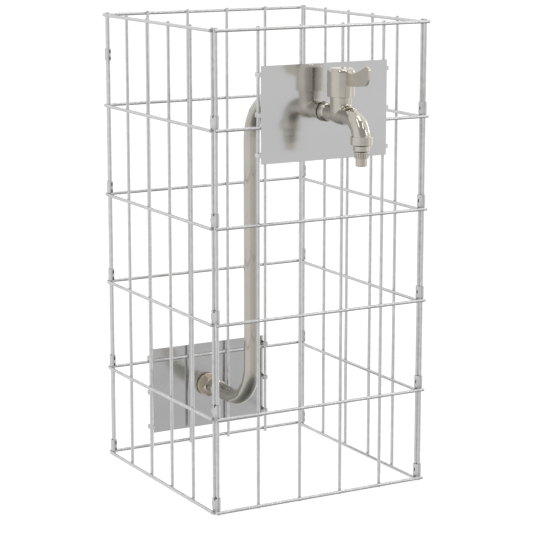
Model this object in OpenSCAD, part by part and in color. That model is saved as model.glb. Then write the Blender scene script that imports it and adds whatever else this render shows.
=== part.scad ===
// Garden standpipe: a free-standing wire cage for stones that carries a riser pipe,
// a sheet plate at each end of the pipe and a quarter-turn lever tap.
// Millimetres, +Z up, floor at Z = 0, tap towards -Y, water inlet towards +Y.

/* [Cage] */
// Spacing of the upright wires
mesh_w = 50; // [46:1:80]
// Spacing of the cross wires
mesh_h = 100; // [90:1:150]
// Bays across each panel, an odd number
bays_w = 5; // [5:2:9]
// Bays up each panel
bays_h = 5; // [3:1:8]
// Wire thickness
wire_d = 3.5; // [3:0.1:4.5]
// Depth to which crossing wires are welded into each other
weld_sink = 0.2; // [0.1:0.05:0.4]
// Wire left past the last weld of the front and back panels
wire_end = 3; // [2.5:0.5:8]
// Wire left past the last weld of the side panels
side_wire_end = 2; // [1:0.5:2.5]
// Set of the front and back panels outside the mesh square
face_set = 1.5; // [1:0.1:3]
// Set of the side panels outside the mesh square
side_set = 0.3; // [0.1:0.1:1]
// Sideways set of the front panel's two edge wires
front_edge_set = 1.9; // [0:0.1:3]
// Gap between the two wires of a corner
corner_gap = 0.2; // [0.1:0.1:1]

/* [Corner clips] */
// Height of a clip
clip_h = 13; // [10:0.5:20]
// Sheet thickness of a clip
clip_t = 0.9; // [0.6:0.1:1.5]
// Room between a clip and its wires
clip_gap = 0.15; // [0.1:0.05:0.4]
// Room between a clip and the cross wire below it
clip_lift = 0.4; // [0.3:0.1:2]
// Width of the slit on the inner side of a clip
clip_slit = 2.4; // [1.5:0.1:3.5]
// Height of the tongue that bridges the slit
clip_tongue = 4.6; // [3:0.1:6]
// How far the top clip of the back left corner has slid up
clip_slid = 48; // [0:1:60]

/* [Plates] */
// Bays that a plate covers, an odd number
plate_bays = 3; // [1:2:3]
// Height of a plate
plate_h = 100; // [92:1:140]
// Sheet thickness of a plate
plate_t = 1.5; // [1:0.1:3]
// Room between a plate and the cross wires behind it
plate_gap = 0.25; // [0.1:0.05:1]
// Height of a hooked tab
tab_h = 4.4; // [3:0.1:6]
// Height of the outer tabs above and below the middle one
tab_pitch = 41; // [36:0.5:42]
// Thickness of a tab
tab_t = 1.2; // [0.8:0.1:2]
// Room between a tab and the wire in it
tab_gap = 0.3; // [0.2:0.05:0.6]
// Room between the back plate's top tabs and the cross wire under them
tab_rest = 0.35; // [0.2:0.05:1]
// Room around a pipe thread in its plate
hole_gap = 0.3; // [0.2:0.05:0.6]

/* [Riser pipe] */
// Outside diameter of the pipe
pipe_d = 18; // [15:0.5:22]
// Wall of the pipe
pipe_wall = 1; // [0.8:0.1:1.5]
// Bend radius at the pipe's centre line
bend_r = 48; // [25:1:60]
// Upright run of the pipe, behind the cage's middle
riser_y = 23; // [0:1:30]
// Soldering gap around the pipe in its fittings
solder_gap = 0.05; // [0.03:0.01:0.1]

/* [Pipe fittings] */
// Wall of a fitting around the pipe
sleeve_wall = 1.6; // [1.2:0.1:3]
// Depth of pipe in a fitting
sleeve_grip = 14; // [8:1:25]
// Web between pipe and thread inside a fitting
sleeve_web = 2; // [1:0.5:5]
// Room between the tap's socket and the cross wire under it
wire_clear = 0.6; // [0.4:0.1:4]
// Thickness of a flat gasket against a plate
gasket_t = 1; // [0.5:0.1:2]
// Thread of the tap's socket past the end of the tail
thread_run = 1; // [0.5:0.5:4]
// Step inside the tap's socket that the pipe's end rests on
bore_step = 1; // [0.5:0.1:2]
// Width across the spanner flats past the sleeve's diameter
hex_over = 0.2; // [0.1:0.1:4]
// Length of the inlet fitting's spanner flats
hex_len = 10; // [6:1:16]
// Rim of the inlet fitting's flange past its flats
flange_lip = 1.6; // [1:0.1:4]
// Thickness of the inlet fitting's flange
flange_t = 4; // [2:0.5:8]
// Outside diameter of the inlet thread
inlet_thread_d = 20.955; // [19:0.005:26.441]
// Bore of the inlet fitting
inlet_bore_d = 15; // [12:0.5:17]
// Inlet thread left free behind the lock nut
free_thread = 13; // [10:1:25]
// Width of the relief groove between the free thread and the lock nut
relief_w = 1; // [0.5:0.1:3]
// Depth of the relief groove
relief_depth = 0.8; // [0.4:0.1:1.2]
// Width across the flats of the lock nut
lock_nut_af = 27; // [27:1:36]
// Thickness of the lock nut
lock_nut_t = 6; // [4:0.5:10]
// Outside diameter of the washer under the lock nut
washer_d = 33; // [32:1:45]
// Thickness of that washer
washer_t = 1.5; // [1:0.1:3]
// Clearance between a thread and its nut
thread_gap = 0.05; // [0.03:0.01:0.1]

/* [Tap body] */
// Outside diameter of the tap's tail thread
tail_d = 16.66; // [15:0.01:17]
// Depth of tail thread in the socket
tail_grip = 11; // [8:0.5:16]
// Outside diameter of the wall collar
collar_d = 20.8; // [19:0.1:30]
// Length of the wall collar
collar_len = 8.5; // [6:0.5:14]
// Rounding of the wall collar
collar_round = 2.4; // [1:0.1:3]
// Diameter of the neck between collar and body
neck_d = 17.8; // [17.6:0.1:20]
// Valve axis in front of the plate
valve_reach = 31.5; // [26:0.5:45]
// Diameter of the body's belly
belly_d = 21.4; // [20:0.1:30]
// Straight length of the belly
belly_len = 16; // [6:0.5:20]
// Diameter of the upright barrel
barrel_d = 22.8; // [18:0.1:24]
// Middle of the barrel's round foot above the inlet axis
barrel_foot = 1; // [0.5:0.1:3]
// Top of the barrel above the inlet axis
barrel_h = 20; // [18:0.5:30]
// Diameter of the spout
spout_d = 19; // [16:0.1:20]
// Bend radius of the spout at its centre line
spout_bend_r = 17.5; // [14:0.5:22]
// Outlet in front of the valve axis
spout_reach = 39.5; // [36:0.5:60]
// Bore of the inlet waterway
waterway_d = 9; // [6:0.5:9]
// Bore of the spout
spout_bore_d = 11; // [9:0.5:11]
// Height of the spout's port above the valve seat
port_rise = 2.5; // [1.5:0.1:3]

/* [Valve] */
// Diameter of the valve chamber
chamber_d = 14.5; // [14:0.1:15]
// Valve seat above the inlet axis
seat_lift = 5; // [4:0.5:6]
// Thickness of the seat seal
seat_seal_t = 1.5; // [1:0.1:2]
// Diameter of the ceramic discs
disc_d = 11; // [10:0.1:11.2]
// Thickness of a ceramic disc
disc_t = 2; // [1.5:0.1:2.4]
// Water film between the two discs
disc_film = 0.05; // [0.02:0.01:0.1]
// Diameter of a disc port
port_d = 2.6; // [1.5:0.1:3]
// Wall of the cartridge around the discs
cartridge_wall = 0.6; // [0.5:0.1:0.8]
// Room between the cartridge's skirt and the valve seat
skirt_gap = 0.3; // [0.2:0.05:0.6]
// Wall of the cartridge above the discs, up to its thread
roof_wall = 0.6; // [0.4:0.1:2]
// Width of the tongue that turns the moving disc
tongue_w = 2; // [1.5:0.1:3]
// Thickness of the spindle's foot
foot_t = 2; // [1.5:0.1:3]
// Room above the spindle's foot
foot_gap = 0.2; // [0.1:0.05:0.5]
// Diameter of the spindle
spindle_d = 6; // [5:0.1:7]
// Running clearance of moving pieces in the cartridge
run_gap = 0.05; // [0.03:0.01:0.1]
// Thickness of a spindle ring's cord
ring_cord = 0.9; // [0.6:0.1:1]
// Room of a spindle ring along its groove
cord_room = 0.1; // [0.05:0.05:0.3]
// Ease of a spindle ring between its groove and the bore
cord_ease = 0.02; // [0.01:0.01:0.05]
// Lower spindle ring above the start of the cartridge's thread
ring_lift = 2; // [1:0.1:4]
// Distance between the two spindle rings
ring_pitch = 2.5; // [1.5:0.1:4]
// Thickness of the seal under the cartridge head
head_seal_t = 1; // [0.5:0.1:2]
// Width across the flats of the cartridge head
head_af = 17; // [16:0.5:18]
// Height of the cartridge head
head_h = 4; // [3:0.5:6]

/* [Lever] */
// Diameter of the handle's cap
cap_d = 28.4; // [27:0.1:32]
// Height of the cap
cap_h = 28.9; // [27:0.1:40]
// How far the cap reaches down over the barrel
cap_skirt = 1.3; // [0.5:0.1:4]
// Rounding of the cap's top edge
cap_round = 4.4; // [1:0.1:5]
// Wall of the cap's skirt
cap_wall = 1.9; // [1.5:0.1:2]
// Room between the cartridge's head and the cap's floor
cap_room = 5; // [3:0.5:6]
// Depth of the spindle in the handle
spindle_grip = 10; // [8:0.5:12]
// Room above the spindle's end
spindle_room = 0.3; // [0.2:0.1:1]
// Tip of the lever from the valve axis
lever_len = 53; // [48:0.5:80]
// Thickness of the lever
lever_t = 2.4; // [2:0.1:5]
// Lower edge of the lever above the cap's lower edge
lever_lift = 11.6; // [8:0.1:14]
// Height of the lever at the cap
lever_root_h = 12; // [8:0.5:13]
// Height of the lever near its tip
lever_tip_h = 20; // [14:0.5:26]
// Rise of the lever's lower edge at the tip
lever_rise = 2.2; // [0:0.1:5]
// Lean of the lever's tip, from its lower corner to its upper one
tip_lean = 1; // [0:0.1:3]
// Level stretch of the lever's edges before the tip's roundings
tip_level = 2; // [0.5:0.1:5]
// Rounding of the lever's tip at the top
lever_round = 4; // [2:0.5:5]
// Rounding of the lever's tip from below
tip_under = 10; // [4:0.5:12]
// Diameter of the grub screw
grub_d = 4; // [3:0.5:5]
// Length of the grub screw
grub_len = 10; // [8:0.5:10.5]
// Turn of the grub screw from the cap's back towards its right side
grub_turn = 90; // [60:5:120]

/* [Outlet] */
// Outside diameter of the spout's end thread
outlet_thread_d = 15.2; // [14:0.1:16]
// Length of the spout's end thread
outlet_thread_len = 6; // [4:0.5:8]
// Room between the spout's end and the adapter's collar
adapter_gap = 0.1; // [0.05:0.05:0.5]
// Thickness of the washer inside the adapter
outlet_washer_t = 1.2; // [0.8:0.1:2]
// Diameter of the adapter's collar
adapter_d = 22.4; // [19:0.1:28]
// Length of the adapter's collar
adapter_len = 8.9; // [8.5:0.1:14]
// Diameter of the adapter's shoulder ring
shoulder_d = 16.8; // [14:0.1:20]
// Length of the adapter's shoulder ring
shoulder_len = 5.6; // [3:0.1:10]
// Diameter of the grip ring
grip_ring_d = 14.9; // [14.4:0.1:20]
// Length of the grip ring
grip_ring_len = 6.5; // [4:0.1:10]
// Grooves around the grip ring
grip_grooves = 20; // [12:1:36]
// Diameter of a groove
groove_d = 1.2; // [0.8:0.1:1.6]
// Middle of a groove outside the ring's surface
groove_set = 0.2; // [0:0.05:0.4]
// Plain rim above and below the grooves
groove_rim = 1; // [0.5:0.1:1.5]
// Step from the grip ring's seat down to the hose nozzle
nozzle_step = 0.2; // [0.1:0.1:0.5]
// Diameter of the hose nozzle
nozzle_d = 11.9; // [11:0.1:12.6]
// Length of the hose nozzle below the grip ring
nozzle_len = 8; // [6:0.5:25]
// Bore of the hose nozzle
nozzle_bore_d = 8; // [5:0.5:9]
// Height of the shadow gaps between the adapter's rings
ring_gap = 0.5; // [0.3:0.1:1]

/* [Hidden] */
$fn = 48;

// Overlap that lets a cut break through a face
cut = 1;

// Cage: planes of the upright wires, and the two wires of each corner
cage_w = bays_w * mesh_w;
cage_h = bays_h * mesh_h + 2 * wire_end;
cross_out = wire_d - weld_sink;
face_y = cage_w / 2 + face_set;
side_x = cage_w / 2 + side_set;
side_edge = face_y - wire_d - corner_gap;
inner_wires = [for (i = [1:bays_w - 1]) i * mesh_w - cage_w / 2];
front_wires = concat([front_edge_set - cage_w / 2], inner_wires, [front_edge_set + cage_w / 2]);
back_wires = concat([-cage_w / 2], inner_wires, [cage_w / 2]);
side_wires = concat([-side_edge], inner_wires, [side_edge]);
front_left = [[front_wires[0], -face_y], [-side_x, -side_edge]];
front_right = [[front_wires[bays_w], -face_y], [side_x, -side_edge]];
back_left = [[back_wires[0], face_y], [-side_x, side_edge]];
back_right = [[back_wires[bays_w], face_y], [side_x, side_edge]];
clip_in_r = wire_d / 2 + clip_gap;
clip_out_r = clip_in_r + clip_t;

// Plates: outer faces, hooks and the heights that the pipe's ends take
plate_w = plate_bays * mesh_w;
hook_in = wire_d / 2 + tab_gap;
hook_out = hook_in + tab_t;
wire_back = plate_t + plate_gap + wire_d / 2 + cross_out;
plate_y = face_y + wire_back;
plate_in_y = plate_y - plate_t;
sleeve_in_d = pipe_d + 2 * solder_gap;
sleeve_d = sleeve_in_d + 2 * sleeve_wall;
tap_z = wire_end + (bays_h - 1) * mesh_h + wire_d / 2 + wire_clear + sleeve_d / 2;
inlet_z = wire_end + mesh_h + wire_d / 2 + tab_rest + tab_h / 2 - tab_pitch;

// Pipe fittings along Y
hex_af = sleeve_d + hex_over;
hex_d = hex_af / cos(30);
flange_d = hex_d + 2 * flange_lip;
socket_y = gasket_t - plate_in_y;
socket_thread = tail_grip + thread_run;
socket_len = socket_thread + sleeve_web + sleeve_grip;
pipe_top_y = socket_y + socket_thread + sleeve_web;
flange_y = plate_in_y - gasket_t;
fitting_y = flange_y - flange_t - hex_len - sleeve_grip;
pipe_end_y = fitting_y + sleeve_grip;
nut_y = plate_y + washer_t;
relief_y = nut_y + lock_nut_t;
inlet_end_y = relief_y + relief_w + free_thread;

// Tap: valve axis, and the heights of the stack inside the barrel
valve_y = -plate_y - valve_reach;
collar_y = -plate_y - collar_len;
barrel_z = tap_z + barrel_h;
seat_z = tap_z + seat_lift;
fixed_disc_z = seat_z + seat_seal_t;
moving_disc_z = fixed_disc_z + disc_t + disc_film;
foot_z = moving_disc_z + disc_t + disc_film;
foot_top_z = foot_z + foot_t;
cavity_z = foot_top_z + foot_gap;
cavity_d = disc_d + 2 * run_gap;
skirt_d = cavity_d + 2 * cartridge_wall;
skirt_z = seat_z + skirt_gap;
thread_z = cavity_z + roof_wall;
cartridge_d = chamber_d - 2 * thread_gap;
head_z = barrel_z + head_seal_t;
tongue_h = disc_t / 2;

// Lever handle: the cap's levels and the lever's side view
cap_z = barrel_z - cap_skirt;
cap_in_d = cap_d - 2 * cap_wall;
cap_floor_z = head_z + head_h + cap_room;
spindle_top_z = cap_floor_z + spindle_grip;
grub_z = cap_floor_z + spindle_grip / 2;
ring_z = [thread_z + ring_lift, thread_z + ring_lift + ring_pitch];
lever_z = cap_z + lever_lift;
lever_top_z = lever_rise + lever_tip_h;

// Outlet down the spout's end
outlet_y = valve_y - spout_reach;
spout_end_z = tap_z - spout_bend_r;
adapter_z = spout_end_z - adapter_gap;
adapter_floor_z = spout_end_z - outlet_thread_len - outlet_washer_t;
shoulder_z = adapter_z - adapter_len - ring_gap;
grip_ring_z = shoulder_z - shoulder_len - ring_gap;
nozzle_z = grip_ring_z - grip_ring_len;
ring_seat_d = nozzle_d + 2 * nozzle_step;

// The origin lies under the middle of the whole outline
reach_left = side_x + cross_out + wire_d / 2;
reach_right = front_wires[bays_w] + wire_end;
reach_front = lever_len - valve_y;
origin_x = (reach_right - reach_left) / 2;
origin_y = (inlet_end_y - reach_front) / 2;

zinc = [0.74, 0.74, 0.74];
steel = [0.76, 0.76, 0.76];
pipe_steel = [0.69, 0.68, 0.65];
nickel = [0.71, 0.69, 0.65];
brass = [0.78, 0.64, 0.33];
rubber = [0.12, 0.12, 0.12];
ceramic = [0.93, 0.93, 0.9];

// Height of a cross wire, counted from the floor
function row_z(row) = wire_end + row * mesh_h;
// Points of a round corner about a centre
function corner(c, r, from, to) = [for (i = [0:6]) let (a = from + (to - from) * i / 6) c + r * [cos(a), sin(a)]];
// Points of a smooth bow from p to q, drawn towards m
function bow(p, m, q) = [for (i = [0:10]) let (t = i / 10) (1 - t) * (1 - t) * p + 2 * t * (1 - t) * m + t * t * q];

module placed() {
  translate([-origin_x, -origin_y, 0]) children();
}

// Cylinder along +Y from the point [0, y, z]
module along_y(y, z, d, h) {
  translate([0, y, z]) rotate([-90, 0, 0]) cylinder(d = d, h = h);
}

// Hexagon bar along +Y with flats on both sides
module hex_along_y(y, z, af, h) {
  translate([0, y, z]) rotate([-90, 0, 0]) cylinder(d = af / cos(30), h = h, $fn = 6);
}

// Upright tube on the valve axis or the outlet axis
module upright_ring(y, z, d_out, d_in, h) {
  translate([0, y, z]) difference() {
    cylinder(d = d_out, h = h);
    translate([0, 0, -cut]) cylinder(d = d_in, h = h + 2 * cut);
  }
}

// Quarter bend in the Y-Z plane about the point [0, y, z]
module quarter_bend(y, z, r, d, turn) {
  translate([0, y, z]) rotate([90, 0, 90]) rotate([0, 0, turn])
    rotate_extrude(angle = 90) translate([r, 0]) circle(d = d);
}

// Welded panel in the X-Z plane
module mesh_panel(uprights, past, cross_y) {
  first = uprights[0] - past;
  last = uprights[len(uprights) - 1] + past;
  for (x = uprights) translate([x, 0, 0]) cylinder(d = wire_d, h = cage_h);
  for (row = [0:bays_h]) translate([first, cross_y, row_z(row)]) rotate([0, 90, 0])
    cylinder(d = wire_d, h = last - first);
}

module front_panel() color(zinc) {
  translate([0, -face_y, 0]) mesh_panel(front_wires, wire_end, -cross_out);
}

module back_panel() color(zinc) {
  translate([0, face_y, 0]) mesh_panel(back_wires, wire_end, cross_out);
}

module left_panel() color(zinc) {
  translate([-side_x, 0, 0]) rotate([0, 0, 90]) mesh_panel(side_wires, side_wire_end, cross_out);
}

// The right panel is fitted with its cross wires inside
module right_panel() color(zinc) {
  translate([side_x, 0, 0]) rotate([0, 0, 90]) mesh_panel(side_wires, side_wire_end, cross_out);
}

// Round-ended outline about the two wires of a corner
module wire_pair(pair, r) {
  run = pair[1] - pair[0];
  translate(pair[0]) circle(r = r);
  translate(pair[1]) circle(r = r);
  translate(pair[0]) rotate(atan2(run[1], run[0])) translate([0, -r]) square([norm(run), 2 * r]);
}

// Sheet clip folded around a corner's two wires, with a tongue across its slit
module corner_clip(pair) {
  run = pair[1] - pair[0];
  middle = (pair[0] + pair[1]) / 2;
  across = [-run[1], run[0]];
  inward = across * middle < 0 ? across : -across;
  notch_h = (clip_h - clip_tongue) / 2;
  difference() {
    linear_extrude(clip_h) difference() {
      wire_pair(pair, clip_out_r);
      wire_pair(pair, clip_in_r);
    }
    translate(middle) rotate(atan2(inward[1], inward[0])) {
      for (z = [-cut, clip_h - notch_h]) translate([wire_d / 4, -clip_slit / 2, z])
        cube([clip_out_r, clip_slit, notch_h + cut]);
    }
  }
}

// One clip above each cross wire but the top one, the highest one slid up
module clip_column(pair, slid = 0) color(steel) {
  for (row = [0:bays_h - 1]) {
    up = row == bays_h - 1 ? slid : 0;
    translate([0, 0, row_z(row) + wire_d / 2 + clip_lift + up]) corner_clip(pair);
  }
}

module front_left_clips() clip_column(front_left);

module front_right_clips() clip_column(front_right);

module back_left_clips() clip_column(back_left, clip_slid);

module back_right_clips() clip_column(back_right);

// Tab in plan: out past the plate's edge, back and round the wire
module tab_plan() {
  translate([-cut, 0]) square([cut + hook_out, plate_t]);
  translate([hook_in, 0]) square([tab_t, wire_back]);
  translate([0, wire_back]) difference() {
    circle(r = hook_out);
    circle(r = hook_in);
    translate([-2 * hook_out, -4 * hook_out]) square(4 * hook_out);
  }
}

// Sheet plate with its outer face at Y = 0 and three hooked tabs on each side
module hooked_plate(hole_d) color(steel) difference() {
  union() {
    translate([-plate_w / 2, 0, -plate_h / 2]) cube([plate_w, plate_t, plate_h]);
    for (side = [0, 1]) mirror([side, 0, 0]) for (step = [-1:1])
      translate([plate_w / 2, 0, step * tab_pitch - tab_h / 2]) linear_extrude(tab_h) tab_plan();
  }
  along_y(-cut, 0, hole_d, plate_t + 2 * cut);
}

module front_plate() {
  translate([0, -plate_y, tap_z]) hooked_plate(tail_d + 2 * hole_gap);
}

module back_plate() {
  translate([0, plate_y, inlet_z]) rotate([0, 0, 180]) hooked_plate(inlet_thread_d + 2 * hole_gap);
}

// Top run, bend, upright run in two halves, bend and bottom run, each run drawn from its bend
module pipe_run(d, past) {
  top_y = riser_y - bend_r;
  low_y = riser_y + bend_r;
  half_run = (tap_z - inlet_z) / 2 - bend_r + cut;
  translate([0, top_y, tap_z]) rotate([90, 0, 0]) cylinder(d = d, h = top_y - pipe_top_y + past);
  quarter_bend(top_y, tap_z - bend_r, bend_r, d, 0);
  translate([0, riser_y, tap_z - bend_r]) rotate([180, 0, 0]) cylinder(d = d, h = half_run);
  translate([0, riser_y, inlet_z + bend_r]) cylinder(d = d, h = half_run);
  quarter_bend(low_y, inlet_z + bend_r, bend_r, d, 180);
  along_y(low_y, inlet_z, d, pipe_end_y - low_y + past);
}

module riser_pipe() color(pipe_steel) difference() {
  pipe_run(pipe_d, 0);
  pipe_run(pipe_d - 2 * pipe_wall, cut);
}

// Socket soldered to the pipe's top end, threaded for the tap's tail
module tap_socket() color(pipe_steel) difference() {
  along_y(socket_y, tap_z, sleeve_d, socket_len);
  along_y(socket_y - cut, tap_z, tail_d + 2 * thread_gap, socket_thread + cut);
  along_y(socket_y, tap_z, pipe_d - 2 * (pipe_wall + bore_step), socket_len);
  along_y(pipe_top_y, tap_z, sleeve_in_d, sleeve_grip + cut);
}

module socket_gasket() color(rubber) difference() {
  along_y(-plate_in_y, tap_z, sleeve_d, gasket_t);
  along_y(-plate_in_y - cut, tap_z, tail_d + 2 * hole_gap, gasket_t + 2 * cut);
}

// Fitting soldered to the pipe's lower end: sleeve, spanner flats, flange and inlet thread
module inlet_fitting() color(pipe_steel) difference() {
  union() {
    along_y(fitting_y, inlet_z, sleeve_d, sleeve_grip + cut);
    hex_along_y(flange_y - flange_t - hex_len, inlet_z, hex_af, hex_len + cut);
    along_y(flange_y - flange_t, inlet_z, flange_d, flange_t);
    along_y(flange_y - cut, inlet_z, inlet_thread_d, inlet_end_y - flange_y + cut);
  }
  along_y(fitting_y - cut, inlet_z, sleeve_in_d, sleeve_grip + cut);
  along_y(fitting_y, inlet_z, inlet_bore_d, inlet_end_y - fitting_y + cut);
  difference() {
    along_y(relief_y, inlet_z, 2 * inlet_thread_d, relief_w);
    along_y(relief_y - cut, inlet_z, inlet_thread_d - 2 * relief_depth, relief_w + 2 * cut);
  }
}

module inlet_gasket() color(rubber) difference() {
  along_y(flange_y, inlet_z, flange_d, gasket_t);
  along_y(flange_y - cut, inlet_z, inlet_thread_d + 2 * hole_gap, gasket_t + 2 * cut);
}

module inlet_washer() color(steel) difference() {
  along_y(plate_y, inlet_z, washer_d, washer_t);
  along_y(plate_y - cut, inlet_z, inlet_thread_d + 2 * hole_gap, washer_t + 2 * cut);
}

module inlet_lock_nut() color(brass) difference() {
  hex_along_y(nut_y, inlet_z, lock_nut_af, lock_nut_t);
  along_y(nut_y - cut, inlet_z, inlet_thread_d + 2 * thread_gap, lock_nut_t + 2 * cut);
}

// Rounded ring between the plate and the tap's neck
module wall_collar() color(nickel) translate([0, -plate_y, tap_z]) rotate([90, 0, 0]) {
  rotate_extrude() difference() {
    union() {
      square([collar_d / 2, collar_len - collar_round]);
      square([collar_d / 2 - collar_round, collar_len]);
      translate([collar_d / 2 - collar_round, collar_len - collar_round]) circle(r = collar_round);
    }
    translate([0, -cut]) square([tail_d / 2 + thread_gap, collar_len + 2 * cut]);
  }
}

// Cast body: tail thread, neck, belly, upright barrel and bent spout
module tap_shell() {
  along_y(collar_y, tap_z, tail_d, collar_len + plate_t + gasket_t + tail_grip);
  along_y(valve_y, tap_z, neck_d, collar_y - valve_y);
  along_y(valve_y - belly_len / 2, tap_z, belly_d, belly_len);
  for (end = [-1, 1]) translate([0, valve_y + end * belly_len / 2, tap_z]) sphere(d = belly_d);
  translate([0, valve_y, tap_z + barrel_foot]) {
    sphere(d = barrel_d);
    cylinder(d = barrel_d, h = barrel_h - barrel_foot);
  }
  along_y(outlet_y + spout_bend_r, tap_z, spout_d, spout_reach - spout_bend_r);
  quarter_bend(outlet_y + spout_bend_r, spout_end_z, spout_bend_r, spout_d, 90);
  translate([0, outlet_y, spout_end_z - outlet_thread_len])
    cylinder(d = outlet_thread_d, h = outlet_thread_len + cut);
}

// Inlet way up to the seat, valve chamber, and the way over the seat wall into the spout
module tap_waterway() {
  spout_start = valve_y - waterway_d;
  along_y(valve_y, tap_z, waterway_d, socket_y + tail_grip - valve_y + cut);
  translate([0, valve_y, tap_z]) cylinder(d = waterway_d, h = barrel_h);
  translate([0, valve_y, seat_z]) cylinder(d = chamber_d, h = barrel_h);
  translate([0, spout_start, tap_z]) cylinder(d = spout_bore_d / 2, h = seat_lift + port_rise);
  along_y(outlet_y + spout_bend_r, tap_z, spout_bore_d, spout_start - outlet_y - spout_bend_r);
  quarter_bend(outlet_y + spout_bend_r, spout_end_z, spout_bend_r, spout_bore_d, 90);
  translate([0, outlet_y, spout_end_z - outlet_thread_len - cut])
    cylinder(d = spout_bore_d, h = outlet_thread_len + cut);
}

module tap_body() color(nickel) difference() {
  tap_shell();
  tap_waterway();
}

// Screwed insert that carries the spindle above the ceramic discs
module cartridge_body() color(brass) translate([0, valve_y, 0]) difference() {
  union() {
    translate([0, 0, skirt_z]) cylinder(d = skirt_d, h = thread_z - skirt_z);
    translate([0, 0, thread_z]) cylinder(d = cartridge_d, h = head_z - thread_z);
    translate([0, 0, head_z]) cylinder(d = head_af / cos(30), h = head_h, $fn = 6);
  }
  translate([0, 0, skirt_z - cut]) cylinder(d = cavity_d, h = cavity_z - skirt_z + cut);
  translate([0, 0, cavity_z - cut]) cylinder(d = spindle_d + 2 * run_gap, h = head_z + head_h);
  translate([-chamber_d / 2, -disc_d / 4, moving_disc_z]) cube([chamber_d, disc_d / 2, disc_t]);
}

module head_seal() color(rubber) {
  upright_ring(valve_y, barrel_z, head_af, cartridge_d + 2 * thread_gap, head_seal_t);
}

module seat_seal() color(rubber) {
  upright_ring(valve_y, seat_z, disc_d, waterway_d, seat_seal_t);
}

// Ceramic disc with two ports on one line
module ported_disc() difference() {
  cylinder(d = disc_d, h = disc_t);
  for (side = [-1, 1]) translate([side * disc_d / 4, 0, -cut]) cylinder(d = port_d, h = disc_t + 2 * cut);
}

module fixed_disc() color(ceramic) translate([0, valve_y, fixed_disc_z]) ported_disc();

// Closed at rest: its ports lie a quarter turn from those of the fixed disc
module moving_disc() color(ceramic) translate([0, valve_y, moving_disc_z]) difference() {
  rotate([0, 0, 90]) ported_disc();
  translate([-disc_d, -tongue_w / 2, disc_t - tongue_h]) cube([2 * disc_d, tongue_w, tongue_h + cut]);
}

// Spindle with a tongued foot that turns the moving disc
module spindle() color(brass) translate([0, valve_y, 0]) difference() {
  union() {
    translate([0, 0, foot_z]) cylinder(d = disc_d, h = foot_t);
    translate([0, 0, foot_z]) cylinder(d = spindle_d, h = spindle_top_z - foot_z);
    translate([-disc_d / 4, -tongue_w / 2 + run_gap, foot_z - tongue_h])
      cube([disc_d / 2, tongue_w - 2 * run_gap, tongue_h + cut]);
  }
  for (z = ring_z) translate([0, 0, z]) difference() {
    cylinder(d = 2 * spindle_d, h = ring_cord + cord_room, center = true);
    cylinder(d = spindle_d - 2 * ring_cord, h = 2 * ring_cord, center = true);
  }
}

module spindle_rings() color(rubber) translate([0, valve_y, 0]) {
  for (z = ring_z) translate([0, 0, z]) rotate_extrude()
    translate([(spindle_d - ring_cord) / 2, 0]) circle(d = ring_cord - cord_ease);
}

// Side view of the lever, from the valve axis outwards
module lever_side() {
  tip = lever_len - lever_round;
  under = lever_len - tip_lean - tip_under;
  polygon(concat(
    [[cap_in_d / 2, lever_root_h], [cap_in_d / 2, 0]],
    bow([cap_d / 2, 0], [lever_len / 2, 0], [under - tip_level, lever_rise]),
    corner([under, lever_rise + tip_under], tip_under, -90, 0),
    corner([tip, lever_top_z - lever_round], lever_round, 0, 90),
    bow([tip - tip_level, lever_top_z], [lever_len / 2, lever_root_h], [cap_d / 2, lever_root_h])
  ));
}

// Cap and lever in one casting, hollow below, with a blind socket for the spindle
module lever_handle() color(nickel) translate([0, valve_y, 0]) difference() {
  union() {
    translate([0, 0, cap_z]) rotate_extrude() {
      square([cap_d / 2, cap_h - cap_round]);
      square([cap_d / 2 - cap_round, cap_h]);
      translate([cap_d / 2 - cap_round, cap_h - cap_round]) circle(r = cap_round);
    }
    translate([-lever_t / 2, 0, lever_z]) rotate([90, 0, -90]) mirror([0, 0, 1])
      linear_extrude(lever_t) lever_side();
  }
  translate([0, 0, cap_z - cut]) cylinder(d = cap_in_d, h = cap_floor_z - cap_z + cut);
  translate([0, 0, cap_floor_z - cut]) cylinder(d = spindle_d + 2 * run_gap, h = spindle_grip + spindle_room + cut);
  rotate([0, 0, -grub_turn]) along_y(0, grub_z, grub_d + 2 * thread_gap, cap_d);
}

// Socket screw in the right side of the cap, pressed on the spindle
module grub_screw() color(steel) translate([0, valve_y, 0]) rotate([0, 0, -grub_turn]) difference() {
  along_y(spindle_d / 2, grub_z, grub_d, grub_len);
  hex_along_y(spindle_d / 2 + grub_len / 2, grub_z, grub_d / 2, grub_len);
}

// Threaded collar with a shoulder ring and a plain nozzle for a hose
module hose_adapter() color(nickel) translate([0, outlet_y, 0]) difference() {
  union() {
    translate([0, 0, adapter_z - adapter_len]) cylinder(d = adapter_d, h = adapter_len);
    translate([0, 0, shoulder_z - shoulder_len]) cylinder(d = shoulder_d, h = shoulder_len);
    translate([0, 0, nozzle_z]) cylinder(d = ring_seat_d, h = adapter_z - adapter_len - nozzle_z + cut);
    translate([0, 0, nozzle_z - nozzle_len]) cylinder(d = nozzle_d, h = nozzle_len + cut);
  }
  translate([0, 0, adapter_floor_z]) cylinder(d = outlet_thread_d + 2 * thread_gap, h = adapter_len);
  translate([0, 0, nozzle_z - nozzle_len - cut]) cylinder(d = nozzle_bore_d, h = adapter_z - nozzle_z + nozzle_len);
}

module outlet_washer() color(rubber) {
  upright_ring(outlet_y, adapter_floor_z, outlet_thread_d, nozzle_bore_d, outlet_washer_t);
}

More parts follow.
